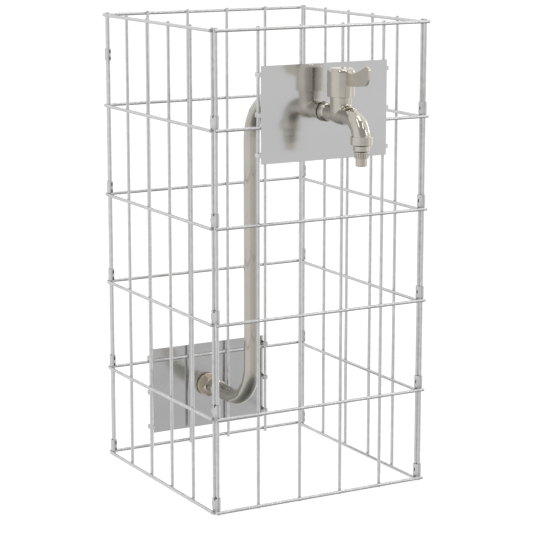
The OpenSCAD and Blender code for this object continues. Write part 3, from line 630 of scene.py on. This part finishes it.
# Washer and lock nut of the inlet: a pressed zinc-coated ring and a flat nut of brass bar.
# The nut draws the fitting's flange against the back plate.
washer_t = 1.5
nut_across, nut_t, nut_bore_r, nut_edge = 27, 6, 10.53, 0.2
washer = turned("inlet_ring", [(10.8, 0), (16.2, 0)] + arc((16.2, 0.3), 0.3, -90, 0, 3)
                + arc((16.2, washer_t - 0.3), 0.3, 0, 90, 3) + [(10.8, washer_t)],
                to_back, (pipe_x, back_plate_y, inlet_z))
fitted(washer, "inlet_washer", clip_zinc)
brass = metal("turned_brass", (0.78, 0.58, 0.26), (0.62, 0.44, 0.19),
              patch_mm=9, grain_mm=0.5, gloss=0.2, dull=0.36, lift_mm=0.02)
nut = hexagon_bar(nut_across, nut_t, start=0)
bore = turned("bore", [(0, -1), (nut_bore_r, -1), (nut_bore_r, nut_t + 1), (0, nut_t + 1)])
combine(nut, bore)
ease_edges(nut, nut_edge, 40)
nut = joined("flat_lock_nut", [nut])
settle(nut, to_back, (pipe_x, back_plate_y + washer_t, inlet_z))
bpy.ops.object.shade_smooth_by_angle(angle=radians(35))
fitted(nut, "inlet_lock_nut", brass)

# Wall collar: a turned, nickel-plated ring with a domed shoulder, screwed on the tap's tail
# until it seats on the front plate. The narrow step at its foot is painted dark as painted shade.
nickel = metal("satin_nickel", (0.63, 0.594, 0.53), (0.57, 0.536, 0.472),
               patch_mm=18, grain_mm=0.4, gloss=0.06, dull=0.11, lift_mm=0.001)
# Painted shade: a near-black nickel for the collar's foot step and the adapter's necks, where shade falls.
groove_painted_shade = metal("groove_painted_shade", (0.10, 0.09, 0.07), (0.05, 0.045, 0.035),
                     patch_mm=3, grain_mm=0.4, gloss=0.35, dull=0.6, lift_mm=0.02)
dome_r, dome_h, dome_start = 2.8, 7.4, 1.1
painted_shade_until = 1.4
collar = turned("domed_collar", [
    (tail_r, 0), (9.6, 0), (9.6, 0.8), (10.1, 0.8)] + arc((10.1, dome_start), 0.3, -90, 0, 3)
    + [(7.6 + dome_r * cos(radians(a)), dome_start + dome_h * sin(radians(a))) for a in range(6, 91, 6)]
    + [(7.6, 8.0), (tail_r, 7.6)], to_front, (pipe_x, front_plate_y, tap_z))
# The collar's foot step gets the painted shade.
fitted(collar, "wall_collar", nickel, second=groove_painted_shade, second_on=lambda mid: (
    mid.y > front_plate_y - painted_shade_until))

# Tap body: one brass casting, ground smooth and nickel plated. The neck runs into a round belly,
# the upright barrel holds the valve, and the spout bends down to its threaded end.
valve_y = -133.3
outlet_y = -172.8
neck_r, belly_r, barrel_r, spout_r = 8.9, 10.5, 11.4, 9.5
neck_len = 24
belly_half_len = 26
belly_ahead = 2
barrel_foot = 1
barrel_h = 19
spout_bend_r = 23
spout_end_z = 398.5
casting_grid, casting_passes = 0.35, 220


def round_bar(r, length, middle, turn=(0, 0, 0)):
    bpy.ops.object.select_all(action="DESELECT")
    bpy.ops.mesh.primitive_cylinder_add(vertices=96, radius=r * MM, depth=length * MM)
    return settle(bpy.context.object, turn, middle)


def belly():
    bpy.ops.object.select_all(action="DESELECT")
    bpy.ops.mesh.primitive_uv_sphere_add(segments=96, ring_count=48, radius=1 * MM)
    bpy.context.object.scale = (belly_r, belly_half_len, belly_r)
    return settle(bpy.context.object, at=(pipe_x, valve_y - belly_ahead, tap_z))


def bent_spout():
    bpy.ops.object.select_all(action="DESELECT")
    bpy.ops.mesh.primitive_circle_add(vertices=96, radius=spout_r * MM, fill_type="NGON")
    settle(bpy.context.object, (pi / 2, 0, 0), (pipe_x, valve_y, tap_z))
    bpy.ops.object.mode_set(mode="EDIT")
    bpy.ops.mesh.select_all(action="SELECT")
    run = outlet_y + spout_bend_r - valve_y
    bpy.ops.mesh.extrude_region_move(TRANSFORM_OT_translate={"value": metres((0, run, 0))})
    bpy.ops.mesh.spin(steps=32, angle=-pi / 2, axis=(1, 0, 0),
                      center=metres((pipe_x, outlet_y + spout_bend_r, tap_z - spout_bend_r)))
    bpy.ops.mesh.extrude_region_move(TRANSFORM_OT_translate={"value": metres((0, 0, -2))})
    bpy.ops.object.mode_set(mode="OBJECT")
    return closed_up(bpy.context.object)


def footed_barrel():
    bpy.ops.object.select_all(action="DESELECT")
    bpy.ops.mesh.primitive_uv_sphere_add(segments=96, ring_count=48, radius=barrel_r * MM)
    foot_z = tap_z + barrel_foot
    barrel = settle(bpy.context.object, at=(pipe_x, valve_y, foot_z))
    bpy.ops.object.mode_set(mode="EDIT")
    choose_points(lambda point: point.z > (foot_z + 0.1) * MM)
    bpy.ops.mesh.delete(type="VERT")
    choose_points(lambda point: point.z > (foot_z - 0.1) * MM)
    bpy.ops.mesh.extrude_region_move(TRANSFORM_OT_translate={"value": metres((0, 0, barrel_h))})
    bpy.ops.mesh.edge_face_add()
    bpy.ops.object.mode_set(mode="OBJECT")
    return closed_up(barrel)


neck = round_bar(neck_r, neck_len, (pipe_x, valve_y + neck_len / 2, tap_z), (pi / 2, 0, 0))
casting = joined("tap_casting", [neck, belly(), footed_barrel(), bent_spout()])
casting.data.remesh_voxel_size = casting_grid * MM
bpy.ops.object.voxel_remesh()
add_modifier(casting, "SMOOTH", factor=0.5, iterations=casting_passes)
bpy.ops.object.shade_smooth()
bpy.ops.object.mode_set(mode="EDIT")
bpy.ops.mesh.select_all(action="SELECT")
bpy.ops.mesh.bisect(plane_co=metres((0, 0, spout_end_z - 1)), plane_no=(0, 0, 1), use_fill=True,
                    clear_inner=True)
bpy.ops.object.mode_set(mode="OBJECT")
fitted(casting, "tap_body", nickel)

# Lever handle: a cast cap over the barrel with a thin upright lever that flares towards its tip.
# It is polished and plated like the body, the blade painted a little brighter as painted light, and a
# socket screw in the cap's right side holds it on the spindle.
cap_r = 14.2
cap_z = 434.7
cap_h = 28.9
cap_lip, cap_round = 0.2, 4.4
cap_bore_r, cap_bore_h = 12.3, 11.3
screw_hole_r, screw_z = 2.05, 451
lever_t, lever_h = 2.4, 12
lever_z = 446.3
lever_edge = 0.2
tip_mid, tip_reach = (44.0, 15.0), (9.0, 12.8)


def bow(start, pull, end, steps=10):
    return [tuple((1 - t) ** 2 * a + 2 * t * (1 - t) * b + t * t * c for a, b, c in zip(start, pull, end))
            for t in [i / steps for i in range(steps + 1)]]


def flat_blank(outline):
    bpy.ops.object.select_all(action="DESELECT")
    bpy.ops.mesh.primitive_plane_add(size=1 * MM)
    bpy.ops.object.mode_set(mode="EDIT")
    bpy.ops.mesh.merge(type="CENTER")
    bpy.ops.transform.translate(value=metres((-lever_t / 2, *outline[0])))
    for (y, z), (next_y, next_z) in zip(outline, outline[1:] + outline[:1]):
        step = metres((0, next_y - y, next_z - z))
        bpy.ops.mesh.extrude_region_move(TRANSFORM_OT_translate={"value": step})
    bpy.ops.mesh.select_all(action="SELECT")
    bpy.ops.mesh.remove_doubles(threshold=weld_tolerance * MM)
    bpy.ops.mesh.select_all(action="SELECT")
    bpy.ops.mesh.edge_face_add()
    bpy.ops.mesh.extrude_region_move(TRANSFORM_OT_translate={"value": metres((lever_t, 0, 0))})
    bpy.ops.object.mode_set(mode="OBJECT")
    return closed_up(bpy.context.object)


lever_side = ([(9, lever_h), (9, 0)] + bow((cap_r, 0), (26.5, 0), (42.0, 2.2))
              + [(tip_mid[0] + tip_reach[0] * y, tip_mid[1] + tip_reach[1] * z)
                 for y, z in arc((0, 0), 1, -90, 0, 14)]
              + arc((49.0, 18.2), 4, 0, 90, 6) + bow((47.0, 22.2), (26.5, lever_h), (cap_r, lever_h)))
paddle = settle(flat_blank([(-y, z) for y, z in lever_side]), at=(pipe_x, valve_y, lever_z))
cap = turned("cap", [(cap_bore_r, 0), (cap_r - cap_lip, 0)]
             + arc((cap_r - cap_lip, cap_lip), cap_lip, -90, 0, 3)
             + arc((cap_r - cap_round, cap_h - cap_round), cap_round, 0, 90, 12)
             + [(0, cap_h), (0, cap_bore_h), (cap_bore_r, cap_bore_h)], at=(pipe_x, valve_y, cap_z))
drill = round_bar(screw_hole_r, 14, (pipe_x + 10, valve_y, screw_z), (0, pi / 2, 0))
combine(cap, drill)
ease_edges(paddle, lever_edge, 50)
combine(cap, paddle, "UNION")
handle = joined("lever_cap", [cap])
bpy.ops.object.shade_smooth_by_angle(angle=radians(30))
# Painted light: a brighter copy of the nickel for the blade's faces.
blade_painted_light = metal("blade_painted_light", (0.74, 0.695, 0.61), (0.69, 0.645, 0.565),
                     patch_mm=18, grain_mm=0.4, gloss=0.06, dull=0.11, lift_mm=0.004)
fitted(handle, "lever_handle", nickel, "handle", second=blade_painted_light, second_on=lambda mid: (
    mid.y < valve_y - cap_r - 1))

# Hose adapter: turned and nickel plated, screwed on the spout's end. Under its collar follow
# a shoulder ring, the seat of the grip ring and the plain nozzle. The necks between them are painted dark as
# painted shade.
nozzle_r, seat_r, adapter_bore_r, nozzle_bore_r = 5.95, 6.15, 7.65, 4
nozzle_z, nozzle_len = 368.4, 8
adapter_len, adapter_bore_end = 30, 22.8
ring_z = nozzle_z + nozzle_len
adapter = turned("adapter_nozzle", [
    (adapter_bore_r, adapter_len), (10.8, adapter_len)] + arc((10.8, adapter_len - 0.4), 0.4, 90, 0, 3)
    + arc((10.4, 21.9), 0.8, 0, -90, 5) + [(seat_r, 21.1), (seat_r, 20.6), (8.0, 20.6)]
    + arc((8.0, 20.2), 0.4, 90, 0, 3) + arc((7.7, 15.7), 0.7, 0, -90, 5)
    + [(seat_r, 15.0), (seat_r, nozzle_len), (nozzle_r, nozzle_len), (nozzle_r, 0.6), (5.5, 0),
       (nozzle_bore_r, 0), (nozzle_bore_r, adapter_bore_end), (adapter_bore_r, adapter_bore_end)],
    at=(pipe_x, outlet_y, nozzle_z))
# The necks between the adapter's rings get the painted shade.
fitted(adapter, "hose_adapter", nickel, second=groove_painted_shade, second_on=lambda mid: (
    hypot(mid.x - pipe_x, mid.y - outlet_y) < seat_r + 0.05 and mid.z > ring_z))

# Grip ring: a turned and plated ring pressed on the nozzle's seat, with twenty short grooves
# milled round it. Grooves and lower rim are painted darker than the rest as painted shade.
groove_count = 20
groove_r, groove_h, groove_mid_r, groove_mouth_r = 0.6, 4.5, 7.65, 7.3
ring_bore_r, ring_h, shaded_rim_h = 6.2, 6.5, 0.4
groove_z = ring_z + ring_h / 2
ring = turned("ring", [(ring_bore_r, 0), (6.85, 0)] + arc((6.85, 0.6), 0.6, -90, 0, 4)
              + arc((7.05, ring_h - 0.4), 0.4, 0, 90, 3) + [(ring_bore_r, ring_h)],
              at=(pipe_x, outlet_y, ring_z))
mill = round_bar(groove_r, groove_h, (groove_mid_r, 0, 0))
cutters = [mill] + [settle(copy_of(mill, (0, 0, 0)), (0, 0, 2 * pi * step / groove_count))
                    for step in range(1, groove_count)]
mills = settle(joined("mills", cutters), at=(pipe_x, outlet_y, groove_z))
combine(ring, mills)
ring = joined("grooved_ring", [ring])
bpy.ops.object.shade_smooth_by_angle(angle=radians(35))
# Painted shade for the ring's grooves and its lower rim.
groove_shade = metal("groove_shade", (0.48, 0.45, 0.39), (0.38, 0.355, 0.305),
                     patch_mm=3, grain_mm=0.4, gloss=0.3, dull=0.5, lift_mm=0.02)
fitted(ring, "grip_ring", nickel, second=groove_shade, second_on=lambda mid: (
    mid.z < ring_z + shaded_rim_h
    or hypot(mid.x - pipe_x, mid.y - outlet_y) < groove_mouth_r
    and abs(mid.z - groove_z) < groove_h / 2 - 0.01))

# Inner pieces: rubber gaskets and seals, lapped ceramic discs, the brass cartridge and spindle,
# and the zinc-coated socket screw. They stay as turned and pressed, under their own finishes.
ceramic = metal("disc_ceramic", (0.90, 0.90, 0.87), (0.80, 0.80, 0.77),
                patch_mm=4, grain_mm=0.3, gloss=0.15, dull=0.3, lift_mm=0.005, metallic=0.0)
for finish, nodes in ((rubber, ("socket_gasket", "head_seal", "seat_seal", "spindle_rings", "outlet_washer")),
                      (ceramic, ("fixed_disc", "moving_disc")),
                      (brass, ("cartridge_body", "spindle")),
                      (clip_zinc, ("grub_screw",))):
    for node in nodes:
        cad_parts[node].data.materials.clear()
        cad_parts[node].data.materials.append(finish)

# Stage: a pale seamless floor in a soft white tent of light, with strip lamps overhead.
# The metal mirrors the tent alone: pale at eye level and dark straight below, dimmer in front
# and high above it, brighter to the right.
floor_size = 60
floor_tone, floor_glow = 0.30, 0.85
# The tent's tones by height of the direction, from straight below to straight above.
tent_tones = ((-1.0, 0.14), (-0.70, 0.32), (-0.54, 0.70), (-0.32, 0.80), (-0.24, 0.82),
              (-0.10, 0.86), (0.0, 0.86), (1.0, 0.85))
# Its zones: the middle's direction, the angles where the zone ends and where it is full, its share
# of light. A middle at eye level stands for a whole upright band.
tent_shades = (((-0.061, -0.998, 0), 58, 36, 0.80), ((0.061, -0.998, 0), 8, 3, 0.80),
               ((0.834, -0.552, 0), 9, 3, 1.3), ((0.862, 0.507, 0), 35, 20, 1.3),
               ((-0.186, -0.719, 0.669), 50, 32, 0.62))
scene = bpy.context.scene
scene.view_settings.view_transform = "Standard"
bpy.ops.object.select_all(action="DESELECT")
bpy.ops.mesh.primitive_plane_add(size=floor_size)
floor = bpy.context.object
floor.name = "floor"
floor.visible_glossy = False
pale = bpy.data.materials.new("pale_floor")
pale.use_nodes = True
shader = pale.node_tree.nodes["Principled BSDF"]
shader.inputs["Base Color"].default_value = (floor_tone, floor_tone, floor_tone, 1)
shader.inputs["Roughness"].default_value = 0.9
shader.inputs["Specular IOR Level"].default_value = 0.0
shader.inputs["Emission Color"].default_value = (1, 1, 1, 1)
shader.inputs["Emission Strength"].default_value = floor_glow
floor.data.materials.append(pale)

world = bpy.data.worlds.new("light_tent")
scene.world = world
world.use_nodes = True
nodes, link = world.node_tree.nodes, world.node_tree.links.new
nodes.clear()
sky = nodes.new("ShaderNodeTexCoord")
height = nodes.new("ShaderNodeSeparateXYZ")
lift = nodes.new("ShaderNodeMapRange")
lift.inputs["From Min"].default_value = -1
tent = nodes.new("ShaderNodeValToRGB")
for step in range(len(tent_tones) - 2):
    tent.color_ramp.elements.new(0.5)
for stop, (level, tone) in zip(tent.color_ramp.elements, tent_tones):
    stop.position = (level + 1) / 2
    stop.color = (tone, tone, tone, 1)
level_way, way = nodes.new("ShaderNodeVectorMath"), nodes.new("ShaderNodeVectorMath")
level_way.operation, way.operation = "MULTIPLY", "NORMALIZE"
level_way.inputs[1].default_value = (1, 1, 0)
link(sky.outputs["Generated"], level_way.inputs[0])
link(level_way.outputs["Vector"], way.inputs[0])


def shaded(light, middle, end_angle, full_angle, part):
    facing = nodes.new("ShaderNodeVectorMath")
    facing.operation = "DOT_PRODUCT"
    facing.inputs[1].default_value = middle
    share = nodes.new("ShaderNodeMapRange")
    for name, value in (("From Min", cos(radians(end_angle))), ("From Max", cos(radians(full_angle))),
                        ("To Min", 1), ("To Max", part)):
        share.inputs[name].default_value = value
    product = nodes.new("ShaderNodeVectorMath")
    product.operation = "SCALE"
    link(sky.outputs["Generated"] if middle[2] else way.outputs["Vector"], facing.inputs[0])
    link(facing.outputs["Value"], share.inputs["Value"])
    link(light, product.inputs["Vector"])
    link(share.outputs["Result"], product.inputs["Scale"])
    return product.outputs["Vector"]


sight = nodes.new("ShaderNodeLightPath")
seen = nodes.new("ShaderNodeMix")
seen.data_type = "RGBA"
seen.inputs["B"].default_value = (1, 1, 1, 1)
back = nodes.new("ShaderNodeBackground")
out = nodes.new("ShaderNodeOutputWorld")
link(sky.outputs["Generated"], height.inputs["Vector"])
link(height.outputs["Z"], lift.inputs["Value"])
link(lift.outputs["Result"], tent.inputs["Fac"])
light = tent.outputs["Color"]
for zone in tent_shades:
    light = shaded(light, *zone)
link(light, seen.inputs["A"])
link(sight.outputs["Is Camera Ray"], seen.inputs["Factor"])
link(seen.outputs["Result"], back.inputs["Color"])
link(back.outputs["Background"], out.inputs["Surface"])


def strip_lamp(name, start, end, width, power):
    start, end = Vector(start), Vector(end)
    middle = (start + end) / 2
    back = (middle - Vector(spout_place)).normalized()
    across = (end - start).cross(back).normalized()
    bpy.ops.object.light_add(type="AREA", location=middle)
    lamp = bpy.context.object
    lamp.name = name
    lamp.rotation_euler = Matrix((across, back.cross(across), back)).transposed().to_euler()
    lamp.data.shape = "RECTANGLE"
    lamp.data.size, lamp.data.size_y = width, (end - start).length
    lamp.data.energy = power
    lamp.visible_camera = False


spout_place = (0.0, -0.178, 0.406)
strip_w = 0.12
strip_lamp("top_lamp", (0.3, -0.9, 2.4), (0.3, -0.1, 2.4), 0.8, 3.5)
strip_lamp("left_strip", (-0.50, -0.37, 1.91), (-0.85, -1.01, 1.48), strip_w, 1.2)
strip_lamp("middle_strip", (0.56, -0.88, 1.73), (0.22, -1.41, 1.41), strip_w, 1.0)
strip_lamp("right_strip", (0.72, -1.33, 1.25), (1.07, -1.31, 0.76), strip_w, 0.85)
strip_lamp("side_strip", (1.39, 0.49, 0.81), (1.58, -0.26, 0.63), strip_w, 1.1)
